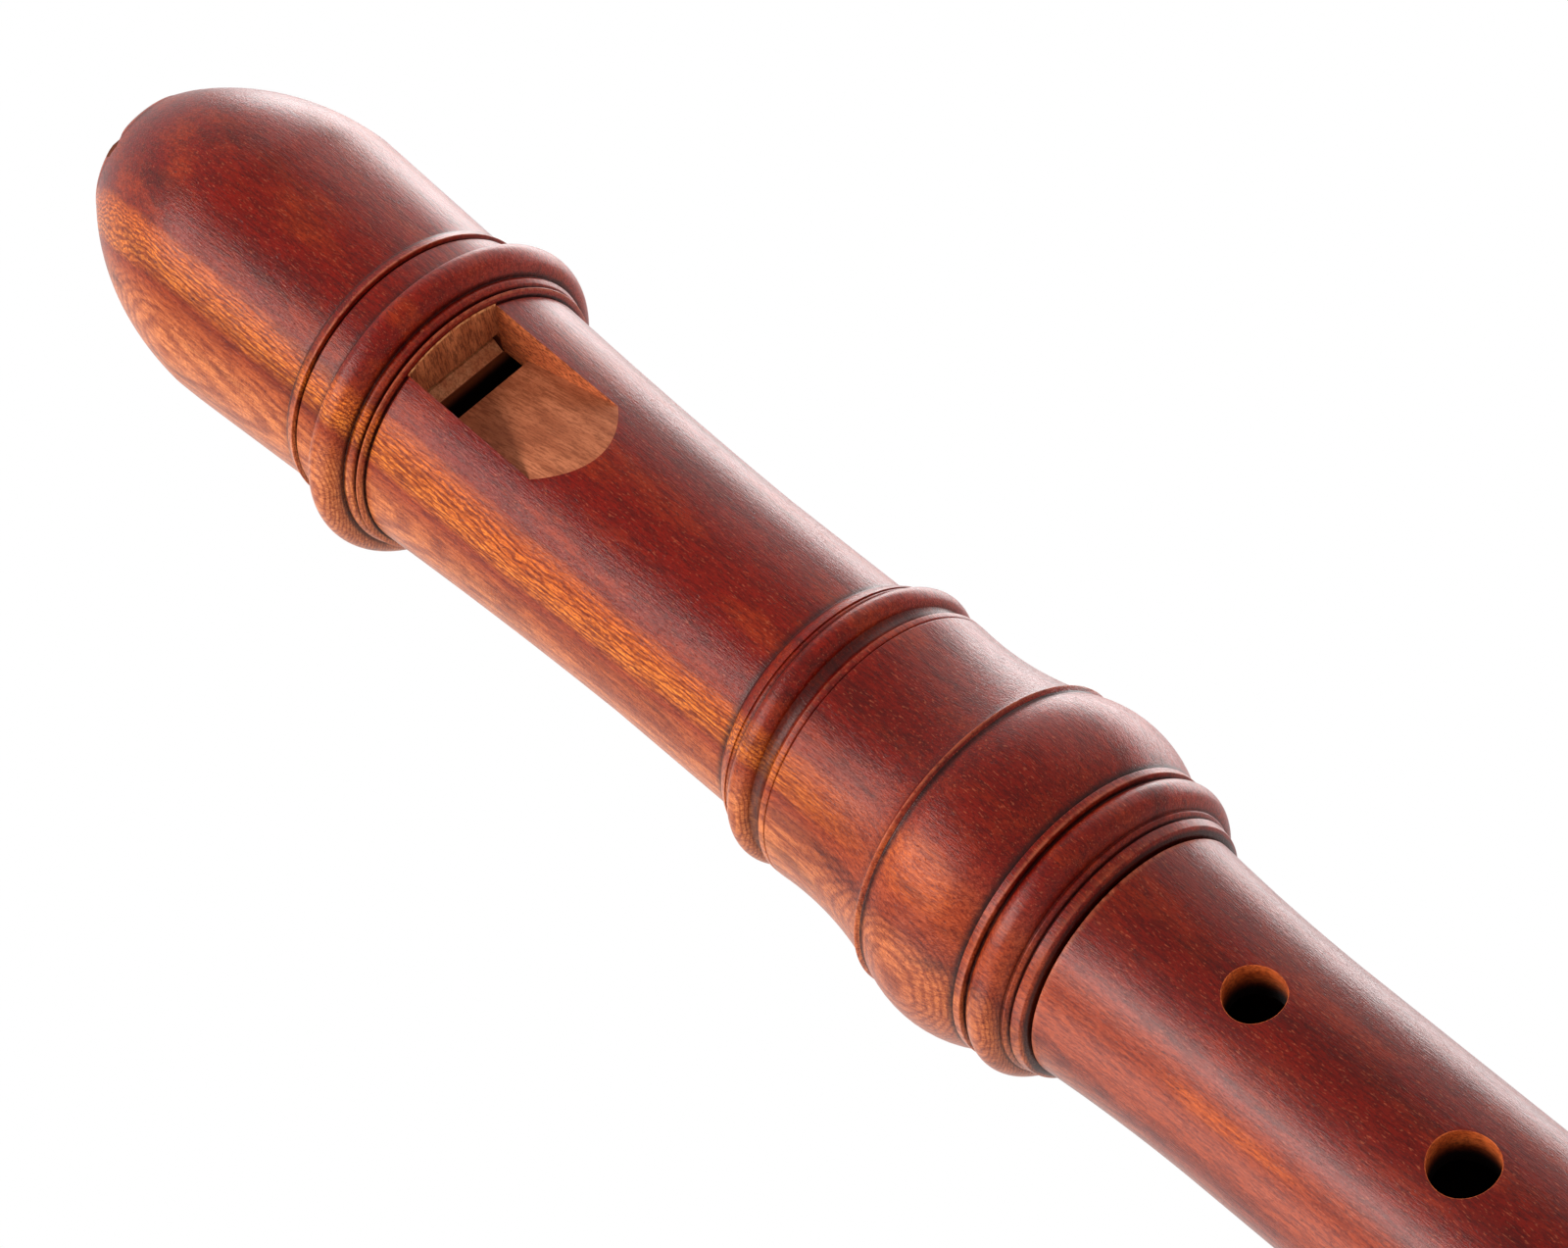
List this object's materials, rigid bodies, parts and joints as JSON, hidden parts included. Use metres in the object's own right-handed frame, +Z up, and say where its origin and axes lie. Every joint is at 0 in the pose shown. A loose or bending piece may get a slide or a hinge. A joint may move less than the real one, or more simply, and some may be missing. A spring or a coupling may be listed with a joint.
{
  "type": "soprano recorder",
  "caption": "Baroque-style wooden recorder in three turned joints, with a beaked head, open window and labium, corked tenons and a bored foot.",
  "frame": {"origin": "centre of the foot joint's end face, with the recorder standing on its foot", "axes": "+Z runs up the bore to the tip of the beak; the window and the finger holes face -Y, the thumb hole faces +Y"},
  "size_m": [0.029, 0.029, 0.325],
  "materials": {
    "stained_pear": "oiled satin, red-brown stain",
    "cedar": "bare, fine grained",
    "cork": "greased sheet cork"
  },
  "bodies": {
    "middle_joint": {"middle_joint": "stained_pear"},
    "upper_tenon_cork": {"upper_tenon_cork": "cork"},
    "head_joint": {"head_joint": "stained_pear"},
    "block": {"block": "cedar"},
    "lower_tenon_cork": {"lower_tenon_cork": "cork"},
    "foot_joint": {"foot_joint": "stained_pear"}
  },
  "joints": [
    {"name": "head_twist", "type": "hinge", "parent": "middle_joint", "child": "upper_tenon_cork", "pos_m": [0, 0, 0.218], "axis": [0, 0, 1], "continuous": true},
    {"name": "head_pull", "type": "slide", "parent": "upper_tenon_cork", "child": "head_joint", "axis": [0, 0, 1], "range_m": [0, 0.03]},
    {"name": "block_push", "type": "slide", "parent": "head_joint", "child": "block", "axis": [0, 0, 1], "range_m": [0, 0.05]},
    {"name": "foot_twist", "type": "hinge", "parent": "middle_joint", "child": "lower_tenon_cork", "pos_m": [0, 0, 0.08], "axis": [0, 0, 1], "continuous": true},
    {"name": "foot_pull", "type": "slide", "parent": "lower_tenon_cork", "child": "foot_joint", "axis": [0, 0, -1], "range_m": [0, 0.02]}
  ]
}
